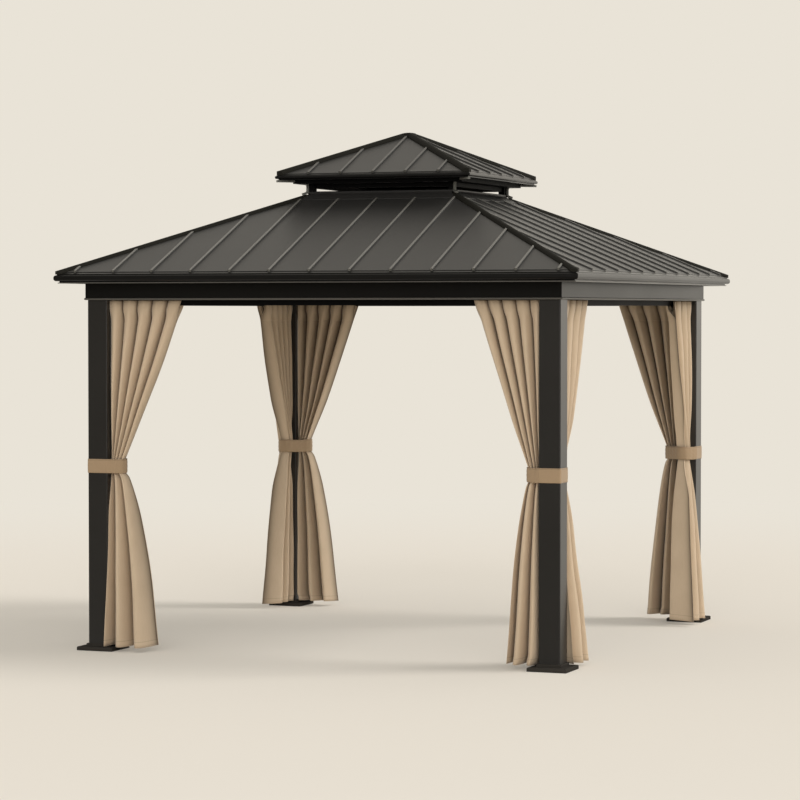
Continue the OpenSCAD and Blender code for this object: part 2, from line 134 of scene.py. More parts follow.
class GazeboColours(bpy.types.PropertyGroup):
    """Paint and cloth colours, as sRGB hex values"""

    post: StringProperty(name="Posts", description="Powder coat of the posts", default="#2c2a27")
    # painted shade: the same coat as the posts, made darker for the shade under the eaves
    beam: StringProperty(name="Beams", description="Powder coat of the beams", default="#181715")
    foot: StringProperty(name="Feet", description="Paint of the foot castings", default="#3a3733")
    trim: StringProperty(name="Trims", description="Paint of the eave trims", default="#171614")
    cap: StringProperty(name="Caps", description="Paint of the hip caps", default="#24231f")
    # painted highlight: the trims' paint made much lighter for the light the arms catch against the dark
    # vent
    arm_highlight: StringProperty(name="Arms", description="Paint of the curved corner arms", default="#6a6963")
    sheet: StringProperty(name="Roof sheets", description="Coil coat of the roof sheets", default="#333230")
    # painted highlight: a lighter colour along the main roof's ribs, standing in for the light they catch
    rib: StringProperty(name="Ribs", description="Coil coat rubbed bright along the ribs", default="#6b6963")
    # painted highlight along the cupola's ribs
    upper_rib: StringProperty(name="Upper ribs", description="The same on the cupola", default="#55534e")
    # painted highlight: a lighter colour on the beams' lower bead and the eave trim's lip
    painted_edge_tone: StringProperty(name="Highlit edges", description="Paint rubbed light on lips", default="#6b6862")
    # painted shade: a near-black colour for the groove of the eave trim and near the cupola trim's lower
    # edge
    painted_trim_shade: StringProperty(name="Shading", description="Dirt gathered along the trims", default="#060505")
    # painted shade: the frame's coat made near-black for the shade under the roof
    inside: StringProperty(name="Roof frame", description="Paint of rafters and rails", default="#0d0c0b")
    cloth: StringProperty(name="Curtains", description="Dyed polyester of the curtains", default="#cab69d")
    band: StringProperty(name="Tie bands", description="Dyed polyester of the tie bands", default="#a38c71")
    studio: StringProperty(name="Studio", description="Paper sweep behind and below", default="#e9e3d7")


class CurtainSettings(bpy.types.PropertyGroup):
    """How the curtains were cut and how they hang"""

    flat_width: FloatProperty(
        name="Flat width", description="Width of a curtain laid flat", default=0.74, unit="LENGTH"
    )
    folds_top: IntProperty(name="Upper folds", description="Grooves above a curtain's tie", default=4)
    folds_hem: IntProperty(name="Lower folds", description="Grooves below a curtain's tie", default=2)
    columns: IntProperty(name="Columns", description="Points across a curtain", default=151)
    rows: IntProperty(name="Rows", description="Points down a curtain", default=116)
    thickness: FloatProperty(
        name="Cloth thickness", description="Thickness of the cloth", default=0.0012, unit="LENGTH"
    )


class StudioSettings(bpy.types.PropertyGroup):
    """Camera and light"""

    turn: FloatProperty(
        name="Camera turn",
        description="Turn of the camera to the right of the front",
        default=math.radians(21.297),
        subtype="ANGLE",
    )
    dip: FloatProperty(
        name="Camera dip",
        description="Slope of the view below level",
        default=math.radians(1.774),
        subtype="ANGLE",
    )
    distance: FloatProperty(
        name="Camera distance",
        description="Distance on the ground to the gazebo's middle",
        default=16.96,
        unit="LENGTH",
    )
    height: FloatProperty(
        name="Camera height",
        description="Height of the lens",
        default=1.898,
        unit="LENGTH",
    )
    aside: FloatProperty(
        name="Camera aside",
        description="How far left of the line to the middle the camera stands",
        default=0.052,
        unit="LENGTH",
    )
    lens: FloatProperty(name="Lens", description="Focal length on a 36 mm sensor", default=130.5)
    key: FloatProperty(name="Key light", description="Strength of the light from the right", default=1.65)
    front: FloatProperty(name="Front light", description="Strength of the low front light", default=1.1)
    fill: FloatProperty(name="Fill light", description="Strength of light from all around", default=0.66)


# ---- small helpers ---------------------------------------------------------------


def srgb(code):
    """Linear RGBA of a hex colour such as #c8b08c."""
    parts = [int(code[i : i + 2], 16) / 255 for i in (1, 3, 5)]
    return tuple(p / 12.92 if p <= 0.04045 else ((p + 0.055) / 1.055) ** 2.4 for p in parts) + (1.0,)


def add(tree, kind, inputs=None, **settings):
    """Adds a node of that kind. inputs maps socket names or numbers to values or to other nodes' outputs."""
    made = tree.nodes.new(kind)
    for key, value in settings.items():
        setattr(made, key, value)
    for key, value in (inputs or {}).items():
        if isinstance(value, bpy.types.NodeSocket):
            tree.links.new(value, made.inputs[key])
        else:
            made.inputs[key].default_value = value
    return made


def empty_material(name):
    """A material with an empty node tree and its output node."""
    material = bpy.data.materials.new(name)
    material.use_nodes = True
    tree = material.node_tree
    tree.nodes.clear()
    return material, tree, add(tree, "ShaderNodeOutputMaterial")


def smooth(t):
    """The cubic 3t^2 - 2t^3 between 0 and 1."""
    t = np.clip(t, 0, 1)
    return t * t * (3 - 2 * t)


def blend(a, b, t):
    """a where t is 0, b where t is 1."""
    return a + (b - a) * t


def fade(distance, length):
    """1 at no distance d, and e^(-d / length) beyond."""
    return np.exp(-np.maximum(0, distance) / length)


def waves(u, v, seed, count=5, most=4):
    """A smooth seeded unevenness from about -1 to 1.

    It is a sum of sines of 2 pi (a u + b v + c), with a, b and c random, over (2 count)^0.5."""
    rng = np.random.RandomState(seed)
    total = np.zeros(np.broadcast(u, v).shape)
    for _ in range(count):
        a, b = rng.uniform(-most, most, 2)
        total = total + np.sin(2 * np.pi * (a * u + b * v + rng.rand()))
    return total / math.sqrt(count * 2)


def mesh_from_grid(name, points, uv=None, grooves=None, loop=False):
    """A mesh through an array of (rows, columns, 3) points. loop joins the last column to the first.

    Each face has the corners (i, j), (i, j + 1), (i + 1, j + 1), (i + 1, j). grooves holds the painted
    shade of the cloth's folds by their attribute's name."""
    rows, columns = points.shape[:2]
    index = np.arange(rows * columns).reshape(rows, columns)
    after = np.roll(index, -1, axis=1)
    last = columns if loop else columns - 1
    quads = np.stack([index[:-1, :last], after[:-1, :last], after[1:, :last], index[1:, :last]], axis=-1)
    quads = quads.reshape(-1, 4)
    mesh = bpy.data.meshes.new(name)
    mesh.vertices.add(rows * columns)
    mesh.vertices.foreach_set("co", points.astype(np.float32).ravel())
    mesh.loops.add(quads.size)
    mesh.loops.foreach_set("vertex_index", quads.astype(np.int32).ravel())
    mesh.polygons.add(len(quads))
    mesh.polygons.foreach_set("loop_start", np.arange(0, quads.size, 4, dtype=np.int32))
    mesh.update(calc_edges=True)
    if uv is not None:
        layer = mesh.uv_layers.new(name="cloth")
        layer.data.foreach_set("uv", uv.reshape(-1, 2)[quads.ravel()].astype(np.float32).ravel())
    for side, depth in (grooves or {}).items():
        shade = mesh.attributes.new(side, "FLOAT", "POINT")
        shade.data.foreach_set("value", depth.astype(np.float32).ravel())
    mesh.polygons.foreach_set("use_smooth", np.ones(len(quads), bool))
    mesh.validate()
    made = bpy.data.objects.new(name, mesh)
    bpy.context.scene.collection.objects.link(made)
    return made


def place_at_post(points, side_x, side_y, along_y=False):
    """Takes points in a post's own frame, +X and +Y towards the other posts, to the row frame."""
    local = points[..., [1, 0, 2]] if along_y else points
    placed = local.copy()
    placed[..., 0] = side_x * (POST_AT - local[..., 0])
    placed[..., 1] = side_y * (POST_AT - local[..., 1])
    return placed


def outward(points, flip):
    """Reverses the columns of a grid where its faces would point inwards."""
    return points[:, ::-1] if flip else points


def scaled(colour, red, green=None, blue=None):
    """A linear colour with its channels multiplied, all by the first factor where only one is given."""
    factors = (red, green or red, blue or red)
    return tuple(min(1, channel * factor) for channel, factor in zip(colour, factors)) + (1.0,)


def repaint(piece, material):
    """Gives a CAD piece that material and no other."""
    piece.data.materials.clear()
    piece.data.materials.append(material)


# ---- materials ------------------------------------------------------------------------


def gloss_range(tree, cloud, rough):
    """Roughness that wanders a little either side of rough."""
    wander = 0.04
    limits = {"Value": cloud, "To Min": rough - wander, "To Max": rough + wander}
    return add(tree, "ShaderNodeMapRange", limits).outputs["Result"]


def powder_coat(name, colour, rough, shine, edges=(), peel=5 * MM):
    """Powder-coated steel: an even satin skin with a faint orange peel from the baked powder.

    Real peel is 1 to 3 mm across; peel is drawn coarser so that it shows. edges lists the level edges
    where painted highlights and painted shade are laid on the coat, each as its middle height, half its
    width, its colour and its share."""
    material, tree, out = empty_material(name)
    place = add(tree, "ShaderNodeTexCoord").outputs["Object"]
    cloud = add(tree, "ShaderNodeTexNoise", {"Vector": place, "Scale": 1 / 0.4, "Detail": 3.0})
    grain = add(tree, "ShaderNodeTexNoise", {"Vector": place, "Scale": 1 / peel, "Detail": 2.0})
    base = srgb(colour)
    shades = {0: cloud.outputs["Fac"], 6: scaled(base, 0.86), 7: scaled(base, 1.12)}
    tint = add(tree, "ShaderNodeMix", shades, data_type="RGBA").outputs[2]
    high = add(tree, "ShaderNodeSeparateXYZ", {0: place}).outputs["Z"]
    # bands of painted highlight and painted shade
    for middle, half, painted_edge_tone, share in edges:
        near = add(tree, "ShaderNodeMath", {0: high, 1: middle, 2: half}, operation="COMPARE").outputs[0]
        near = add(tree, "ShaderNodeMath", {0: near, 1: share}, operation="MULTIPLY").outputs[0]
        tint = add(tree, "ShaderNodeMix", {0: near, 6: tint, 7: srgb(painted_edge_tone)}, data_type="RGBA").outputs[2]
    relief = {"Height": grain.outputs["Fac"], "Strength": 0.25, "Distance": 0.2 * MM}
    bump = add(tree, "ShaderNodeBump", relief)
    skin = add(
        tree,
        "ShaderNodeBsdfPrincipled",
        {
            "Base Color": tint,
            "Roughness": gloss_range(tree, cloud.outputs["Fac"], rough),
            "Normal": bump.outputs["Normal"],
            "Specular IOR Level": shine,
        },
    )
    tree.links.new(skin.outputs[0], out.inputs[0])
    return material


def coil_coat(name, colour, ribs=None, rough=0.42):
    """Coil-coated steel sheet: satin polyester paint, with the slight waviness of wide flat pans.

    ribs gives the axis that crosses the ribs, their spacing and the colour of a painted highlight on
    their crests. With d the signed distance from the middle of the nearest one, the highlight is |d| < 8 mm
    and a painted shadow along its foot is d from -16 to -8 mm."""
    material, tree, out = empty_material(name)
    place = add(tree, "ShaderNodeTexCoord").outputs["Object"]
    cloud = add(tree, "ShaderNodeTexNoise", {"Vector": place, "Scale": 1 / 0.7, "Detail": 4.0})
    pan = add(tree, "ShaderNodeTexNoise", {"Vector": place, "Scale": 1 / 0.32, "Detail": 1.0})
    fine = add(tree, "ShaderNodeTexNoise", {"Vector": place, "Scale": 1 / (6 * MM), "Detail": 2.0})
    base = srgb(colour)
    shades = {0: cloud.outputs["Fac"], 6: scaled(base, 0.9), 7: scaled(base, 1.1)}
    tint = add(tree, "ShaderNodeMix", shades, data_type="RGBA").outputs[2]
    # painted highlight on the ribs' crests, and a painted shadow beside their feet
    if ribs:
        axis, spacing, highlighted = ribs
        across = add(tree, "ShaderNodeSeparateXYZ", {0: place}).outputs[axis]
        pan_edges = {0: across, 1: spacing / 2, 2: -spacing / 2}
        signed = add(tree, "ShaderNodeMath", pan_edges, operation="WRAP").outputs[0]
        off = add(tree, "ShaderNodeMath", {0: signed}, operation="ABSOLUTE").outputs[0]
        fade = {"Value": off, "From Min": 5 * MM, "From Max": 8 * MM, "To Min": 1.0, "To Max": 0.0}
        crest_highlight = add(tree, "ShaderNodeMapRange", fade).outputs["Result"]
        # painted shadow: a darker band along one side of the ribs' feet
        dust = {0: signed, 1: -12 * MM, 2: 4 * MM}
        foot = add(tree, "ShaderNodeMath", dust, operation="COMPARE").outputs[0]
        shade = add(tree, "ShaderNodeMath", {0: foot, 1: 0.55}, operation="MULTIPLY").outputs[0]
        dusted = {0: shade, 6: tint, 7: scaled(base, 0.3)}
        tint = add(tree, "ShaderNodeMix", dusted, data_type="RGBA").outputs[2]
        tint = add(tree, "ShaderNodeMix", {0: crest_highlight, 6: tint, 7: srgb(highlighted)}, data_type="RGBA").outputs[2]
    wave = add(tree, "ShaderNodeBump", {"Height": pan.outputs["Fac"], "Strength": 0.35, "Distance": 4 * MM})
    relief = {"Height": fine.outputs["Fac"], "Strength": 0.2, "Distance": 0.15 * MM}
    bump = add(tree, "ShaderNodeBump", {**relief, "Normal": wave.outputs["Normal"]})
    skin = add(
        tree,
        "ShaderNodeBsdfPrincipled",
        {
            "Base Color": tint,
            "Roughness": gloss_range(tree, cloud.outputs["Fac"], rough),
            "Normal": bump.outputs["Normal"],
            "Specular IOR Level": 0.5,
        },
    )
    tree.links.new(skin.outputs[0], out.inputs[0])
    return material


def woven_polyester(name, colour, hem_at, side="outside", thread=1.6 * MM):
    """Plain-woven dyed polyester: warp and weft threads, uneven slubs, a soft nap, a stitched hem and
    painted shade in its folds.

    Real thread spacing is about 0.5 mm; thread is drawn coarser so that it shows. side names the
    attribute that holds the painted shade for the bottoms of the folds. hem_at is the distance down the
    cloth at which it is stitched."""
    material, tree, out = empty_material(name)
    cloth = add(tree, "ShaderNodeUVMap", uv_map="cloth").outputs[0]
    # a wave texture has 20 bands in a unit of its scale
    threads = {"Vector": cloth, "Scale": 1 / (thread * 20), "Distortion": 0.6, "Detail": 1.0}
    warp = add(tree, "ShaderNodeTexWave", threads, bands_direction="X")
    weft = add(tree, "ShaderNodeTexWave", threads, bands_direction="Y")
    stretch = add(tree, "ShaderNodeMapping", {"Vector": cloth, "Scale": (1 / (3 * MM), 1 / (60 * MM), 1.0)})
    slub = add(tree, "ShaderNodeTexNoise", {"Vector": stretch.outputs[0], "Scale": 1.0, "Detail": 2.0})
    soft = add(tree, "ShaderNodeTexNoise", {"Vector": cloth, "Scale": 1 / 0.12, "Detail": 4.0})
    weave = add(tree, "ShaderNodeMath", {0: warp.outputs["Fac"], 1: weft.outputs["Fac"]}, operation="ADD")
    uneven = add(tree, "ShaderNodeMath", {0: slub.outputs["Fac"], 1: soft.outputs["Fac"]}, operation="ADD")
    half = add(tree, "ShaderNodeMath", {0: uneven.outputs[0], 1: 0.5}, operation="MULTIPLY")
    base = srgb(colour)
    dyed = {0: half.outputs[0], 6: scaled(base, 0.86, 0.84, 0.8), 7: scaled(base, 1.1)}
    tint = add(tree, "ShaderNodeMix", dyed, data_type="RGBA").outputs[2]
    # painted shade: the cloth darkened to a deep brown in its folds' bottoms, where the side's attribute is
    # high
    deep = add(tree, "ShaderNodeAttribute", attribute_name=side).outputs["Fac"]
    fold_shade_and_seam = scaled(base, 0.07, 0.05, 0.03)
    tint = add(tree, "ShaderNodeMix", {0: deep, 6: tint, 7: fold_shade_and_seam}, data_type="RGBA").outputs[2]
    down = add(tree, "ShaderNodeSeparateXYZ", {0: cloth}).outputs["Y"]
    seam = add(tree, "ShaderNodeMath", {0: down, 1: hem_at, 2: 1.5 * MM}, operation="COMPARE").outputs[0]
    seam = add(tree, "ShaderNodeMath", {0: seam, 1: 0.25}, operation="MULTIPLY").outputs[0]
    tint = add(tree, "ShaderNodeMix", {0: seam, 6: tint, 7: fold_shade_and_seam}, data_type="RGBA").outputs[2]
    creased = {"Height": soft.outputs["Fac"], "Strength": 0.4, "Distance": 2 * MM}
    crease = add(tree, "ShaderNodeBump", creased)
    woven = {"Height": weave.outputs[0], "Strength": 0.3, "Distance": 0.25 * MM}
    bump = add(tree, "ShaderNodeBump", {**woven, "Normal": crease.outputs["Normal"]})
    skin = add(
        tree,
        "ShaderNodeBsdfPrincipled",
        {
            "Base Color": tint,
            "Roughness": 0.88,
            "Specular IOR Level": 0.25,
            "Sheen Weight": 0.25,
            "Sheen Roughness": 0.45,
            "Normal": bump.outputs["Normal"],
        },
    )
    tree.links.new(skin.outputs[0], out.inputs[0])
    return material


def eased(tree, value, start, end, low, high):
    """low where the value is under start, high where it is over end, and a smooth step between."""
    limits = {"Value": value, "From Min": start, "From Max": end, "To Min": low, "To Max": high}
    return add(tree, "ShaderNodeMapRange", limits, interpolation_type="SMOOTHSTEP").outputs["Result"]


def dot(tree, vector, direction):
    """The dot product of a socket's vector and a fixed direction."""
    pair = {0: vector, 1: direction}
    return add(tree, "ShaderNodeVectorMath", pair, operation="DOT_PRODUCT").outputs["Value"]


def mixed(tree, share, plain, other):
    """The plain shader where the share is 0, the other where it is 1."""
    return add(tree, "ShaderNodeMixShader", {0: share, 1: plain.outputs[0], 2: other.outputs[0]})


def studio_paper(name, colour, turn):
    """Matt paper sweep with soft shadows, which turns into the plain backdrop colour a few metres out.

    Shiny paint sees it bright behind the gazebo and dim in front of it."""
    material, tree, out = empty_material(name)
    path = add(tree, "ShaderNodeLightPath")
    place = add(tree, "ShaderNodeTexCoord").outputs["Object"]
    away = add(tree, "ShaderNodeVectorMath", {0: place}, operation="LENGTH").outputs["Value"]
    plain = eased(tree, away, 3.5, 12.0, 0.22, 1.0)
    seen_plain = {0: path.outputs["Is Camera Ray"], 1: plain}
    share = add(tree, "ShaderNodeMath", seen_plain, operation="MULTIPLY").outputs[0]
    lit = add(tree, "ShaderNodeBsdfDiffuse", {"Color": srgb("#e4ddd2")})
    shown = add(tree, "ShaderNodeEmission", {"Color": srgb(colour), "Strength": 1.0})
    depth = dot(tree, place, (-math.sin(turn), math.cos(turn), 0))
    bright = eased(tree, depth, -3.0, 2.0, 0.08, 1.1)
    mirrored = add(tree, "ShaderNodeEmission", {"Color": srgb(colour), "Strength": bright})
    seen = mixed(tree, path.outputs["Is Glossy Ray"], mixed(tree, share, lit, shown), mirrored)
    tree.links.new(seen.outputs[0], out.inputs[0])
    return material


def studio_world(name, colour, fill, turn):
    """Even fill light and the plain backdrop.

    Shiny paint sees the backdrop behind the gazebo, brighter low down, and a dim room in front of it."""
    world = bpy.data.worlds.new(name)
    world.use_nodes = True
    tree = world.node_tree
    tree.nodes.clear()
    path = add(tree, "ShaderNodeLightPath")
    look = add(tree, "ShaderNodeTexCoord").outputs["Generated"]
    behind = dot(tree, look, (-math.sin(turn), math.cos(turn), 0.25))
    bright = eased(tree, behind, -0.1, 0.6, 0.03, 1.1)
    up = add(tree, "ShaderNodeSeparateXYZ", {0: look}).outputs["Z"]
    height = {"Value": up, "From Max": 0.8, "To Min": 1.6, "To Max": 0.62}
    low = add(tree, "ShaderNodeMapRange", height).outputs["Result"]
    sheen = add(tree, "ShaderNodeMath", {0: bright, 1: low}, operation="MULTIPLY").outputs[0]
    light = add(tree, "ShaderNodeBackground", {"Color": srgb("#f2efe9"), "Strength": fill})
    mirrored = add(tree, "ShaderNodeBackground", {"Color": srgb(colour), "Strength": sheen})
    shown = add(tree, "ShaderNodeBackground", {"Color": srgb(colour), "Strength": 1.0})
    shiny = mixed(tree, path.outputs["Is Glossy Ray"], light, mirrored)
    seen = mixed(tree, path.outputs["Is Camera Ray"], shiny, shown)
    out = add(tree, "ShaderNodeOutputWorld")
    tree.links.new(seen.outputs[0], out.inputs[0])
    return world


def soft_sun(name, strength, wide, turn, elevation, colour):
    """A distant lamp. turn is measured from the front towards the right."""
    lamp = bpy.data.objects.new(name, bpy.data.lights.new(name, "SUN"))
    lamp.data.energy = strength
    lamp.data.angle = wide
    lamp.data.color = colour
    lamp.rotation_euler = (math.pi / 2 - elevation, 0, turn)
    bpy.context.scene.collection.objects.link(lamp)
    return lamp


# ---- curtains and bands ----------------------------------------------------------------


def fold_section(along, inner, outer, start, end, deep, middle, pinch):
    """One level of a pleated cloth, seen from above, as x, y and the phase of its folds.

    The phase p runs from 2 pi start, beside the post, to 2 pi end. With f = p + k sin p, k being pinch:
    x = inner + (outer - inner) (f - f0) / (f1 - f0) and y = middle - deep cos p."""
    first, last = 2 * np.pi * start, 2 * np.pi * end
    phase = first + (last - first) * along
    first, last = (p + pinch * math.sin(p) for p in (first, last))
    across = (phase + pinch * np.sin(phase) - first) / (last - first)
    return inner + (outer - inner) * across, middle - deep * np.cos(phase), phase


def curtain_levels(rows):
    """Heights of a curtain's rows, from its heading down to its hem."""
    upper_rows = int(rows * UPPER_SHARE)
    band_rows = int(rows * BAND_SHARE)
    return np.concatenate([
        np.linspace(TOP, SEWN, HEADING_ROWS, endpoint=False),
        np.linspace(SEWN, TIE_HIGH, upper_rows, endpoint=False),
        np.linspace(TIE_HIGH, TIE_LOW, band_rows, endpoint=False),
        np.linspace(TIE_LOW, HEM, rows - upper_rows - band_rows),
    ])


def bunch_round(u):
    """Depth across a bunch held by its band, as a part of its middle's depth: (1 - 0.8 (2 u - 1)^2)^0.5."""
    return np.sqrt(np.clip(1 - 0.8 * (2 * u - 1) ** 2, 0, 1))


def upper_folds(cloth, drape, u, t, seed, rng):
    """The cloth above its tie, with t the height over the tie as a part of the span up to its top.

    Its width is W = w1 + (w0 - w1)(t + 0.03 sin pi t), from the band's w1 to the rail's w0."""
    uneven = 0.022 * waves(0.9 * u, 0.1 * (1 - t), seed) * np.sin(np.pi * u) ** 0.5
    outer = NEAR + WAIST + (drape.rail_width - WAIST) * (t + 0.03 * np.sin(np.pi * t))
    outer = outer + 3 * MM * np.sin(7 * t + rng.uniform(0, 6)) * np.sin(np.pi * t)
    low_deep = 36 * MM
    rail_deep = 31 * MM
    deep = blend(rail_deep, low_deep, smooth((1 - t) / 0.45))
    deep = deep * (1 + 0.12 * waves(0.8 * u, 0.3 * t, seed + 11))
    deep = deep * blend(1.15 * bunch_round(u), 1, smooth(t / 0.3))
    middle = BUNCH_IN * smooth(1 - t / 0.5)
    start, end = drape.rail_folds[0], cloth.folds_top + drape.rail_folds[1]
    return fold_section(u + uneven, NEAR, outer, start, end, deep, middle, drape.pinch)


def skirt_folds(cloth, drape, u, v, seed, rng):
    """The cloth below its tie, with v the drop under the tie as a part of the skirt.

    Its width is W = w1 + (w2 - w1) v^0.6, from the band's w1 to the hem's w2. The folds grow with v^0.8
    from the bunch's depth to the flare. Beside the post the hem laps over the post's face, or stands
    clear of the collar on the foot."""
    uneven = 0.035 * waves(0.7 * u, 0.1 * v, seed + 3) * np.sin(np.pi * u) ** 0.5
    if drape.lap:
        inner = NEAR - drape.lap * smooth((v - 0.68) / 0.32)
    else:
        inner = NEAR + 11 * MM * smooth((v - 0.95) / 0.03)
    outer = NEAR + WAIST + (drape.hem_width - WAIST) * v**0.6
    outer = outer + 3 * MM * np.sin(6 * v + rng.uniform(0, 6)) * np.sin(np.pi * v)
    flare = blend(BUNCH_HALF - BUNCH_IN, drape.flare * FLARE_OUT, v**0.8)
    inward = blend(BUNCH_HALF + BUNCH_IN, FLARE_IN, v**0.8)
    deep = (flare + inward) / 2 * (1 - 0.1 * (1 + waves(0.7 * u, 0.3 * v, seed + 17)))
    deep = deep * blend(bunch_round(u), 1, smooth(v / 0.25))
    middle = (inward - flare) / 2
    start, end = drape.hem_folds[0], cloth.folds_hem + drape.hem_folds[1]
    return fold_section(u + uneven, inner, outer, start, end, deep, middle, drape.pinch)


def creases(u, z, upper_phase, phase, seed):
    """How far the cloth stands out of its folds.

    That is gathers under the heading tape, creases that fan out above and below the tie, and a soft
    unevenness that is less near the tie and none at the top."""
    gathers = -1 * MM * (1 + np.sin(4 * upper_phase + 1.3)) * fade(TOP - z, 40 * MM)
    fan = fade(z - TIE_HIGH, 110 * MM) + fade(TIE_LOW - z, 140 * MM)
    fan = 1.6 * MM * fan * np.sin(3 * phase + 5 * u + seed)
    soft = 2.2 * MM * waves(1.1 * u, 0.9 * z, seed + 5, count=6, most=3)
    calm = 1 - 0.8 * fade(np.abs(z - TIE_HIGH), 200 * MM)
    free = np.minimum(1, (TOP - z) / (100 * MM))
    return gathers + fan + soft * calm * free


def fold_grooves(z, upper_phase, lower_phase, passed, pinch):
    """Painted shade in the folds' bottoms on each side of the cloth.

    They are ((1 - cos p) / 2)^g outside and ((1 + cos p) / 2)^g inside, times a strength that is more
    near the tie. The heading just under the beam gets painted shade all over."""
    # painted shade over the heading just under the beam
    lit = 1 - 0.5 * fade(TOP - z, 50 * MM)
    strong = 0.86 + 0.1 * fade(np.abs(z - (TIE_HIGH + TIE_LOW) / 2), 250 * MM)
    grooves = {}
    for side, sign in {"outside": -1, "inside": 1}.items():
        power = 2.5 if sign * pinch < 0 else 5
        upper = ((1 + sign * np.cos(upper_phase)) / 2) ** power
        lower = ((1 + sign * np.cos(lower_phase)) / 2) ** (1.4 * power)
        grooves[side] = 1 - (1 - strong * blend(upper, lower, passed)) * lit
    return grooves


def curtain_points(cloth, drape, seed):
    """A tied curtain in its post's frame, and the strip of heading behind its rail.

    Each is rows down and columns across, with its UV in metres and the painted shade of its grooves.
    Inside the band the upper folds pass over into the skirt's. The cloth passes in front of the rail with
    y = -a - b (1 + cos p), and the strip, sewn on below the rail, behind it with
    y = a + b (1 - cos p)."""
    z = curtain_levels(cloth.rows)[:, None]
    u = np.linspace(0, 1, cloth.columns)[None, :]
    t = np.clip((z - TIE_HIGH) / (TOP - TIE_HIGH), 0, 1)
    v = np.clip((TIE_LOW - z) / (TIE_LOW - HEM), 0, 1)
    passed = smooth((TIE_HIGH - z) / (TIE_HIGH - TIE_LOW))
    rng = np.random.RandomState(seed)
    x1, hung, p1 = upper_folds(cloth, drape, u, t, seed, rng)
    x2, y2, p2 = skirt_folds(cloth, drape, u, v, seed, rng)

    # a, b and the height over which the heading parts to go round the rail
    clear = RAIL_HALF + 2 * MM
    gather = 13 * MM
    pocket = 82 * MM
    parted = smooth((z - SEWN) / pocket)
    y1 = blend(hung, -clear - gather * (1 + np.cos(p1)), parted)
    y = blend(y1, y2, passed) + creases(u, z, p1, blend(p1, p2, passed), seed)
    y = np.clip(y, -FLARE_OUT, FLARE_IN)
    # only in front of the post may the cloth pass its side
    x = blend(x1, x2, passed)
    x = np.where(y > -POST_HALF - 2 * MM, np.maximum(x, NEAR - 0.5 * MM), x)
    lifted = z + 3 * MM * (1 - np.cos(p2)) * smooth((v - 0.6) / 0.4)
    points = np.stack([x, y, lifted], axis=-1)
    uv = np.stack(np.broadcast_arrays(u * cloth.flat_width, TOP - z), axis=-1)
    # painted shade in the folds' bottoms
    grooves = fold_grooves(z, p1, p2, passed, drape.pinch)

    # the strip behind the rail
    part = slice(0, HEADING_ROWS + 1)
    sewn_on = 1.3 * MM
    behind = clear + gather * (1 - np.cos(p1)) + 0.8 * MM * (1 + np.sin(5 * p1))
    strip = points[part].copy()
    strip[..., 1] = (blend(hung, behind, parted) + y - y1)[part] + sewn_on
    strip_grooves = {side: depth[part] for side, depth in grooves.items()}
    return (points, uv, grooves), (strip, uv[part], strip_grooves)


def thicken(cloth, thickness, *names):
    """Makes a cloth solid, half its thickness to each side, with a material for both sides or for each."""
    wall = cloth.modifiers.new("cloth", "SOLIDIFY")
    wall.thickness = thickness
    wall.offset = 0
    wall.material_offset = len(names) - 1
    for name in names:
        cloth.data.materials.append(bpy.data.materials[name])


def hang_curtain(node, side_x, side_y, along_y, seed):
    """One curtain, solid by its cloth's thickness, in place of its plain stand-in."""
    cloth = bpy.context.scene.gazebo_curtain
    flip = (side_x * side_y > 0) != along_y
    sheets = curtain_points(cloth, DRAPES.get(node, Drape()), seed)
    pieces = []
    for start, (points, uv, grooves) in zip(("cloth_", "heading_"), sheets):
        placed = place_at_post(points, side_x, side_y, along_y)
        shades = {side: outward(depth, flip) for side, depth in grooves.items()}
        made = mesh_from_grid(start + node, outward(placed, flip), outward(uv, flip), shades)
        thicken(made, cloth.thickness, *(f"polyester_woven_curtain_{side}" for side in grooves))
        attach(made, "root")
        pieces.append(made)
    curtain, heading = pieces
    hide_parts(node)
    return curtain


def taut_loop(discs, count):
    """Points of the taut loop round discs given as (x, y, radius), evenly spaced by length.

    In each direction n the loop touches the disc whose c.n + r is largest, at c + r n."""
    turn = np.linspace(0, 2 * np.pi, 1440, endpoint=False)
    n = np.stack([np.cos(turn), np.sin(turn)], axis=-1)
    centres, radii = np.array([d[:2] for d in discs]), np.array([d[2] for d in discs])
    best = np.argmax(n @ centres.T + radii, axis=1)
    ring = centres[best] + radii[best, None] * n
    closed = np.vstack([ring, ring[:1]])
    length = np.concatenate([[0], np.cumsum(np.linalg.norm(np.diff(closed, axis=0), axis=1))])
    even = np.linspace(0, length[-1], count, endpoint=False)
    return np.stack([np.interp(even, length, closed[:, k]) for k in (0, 1)], axis=-1), length[-1]


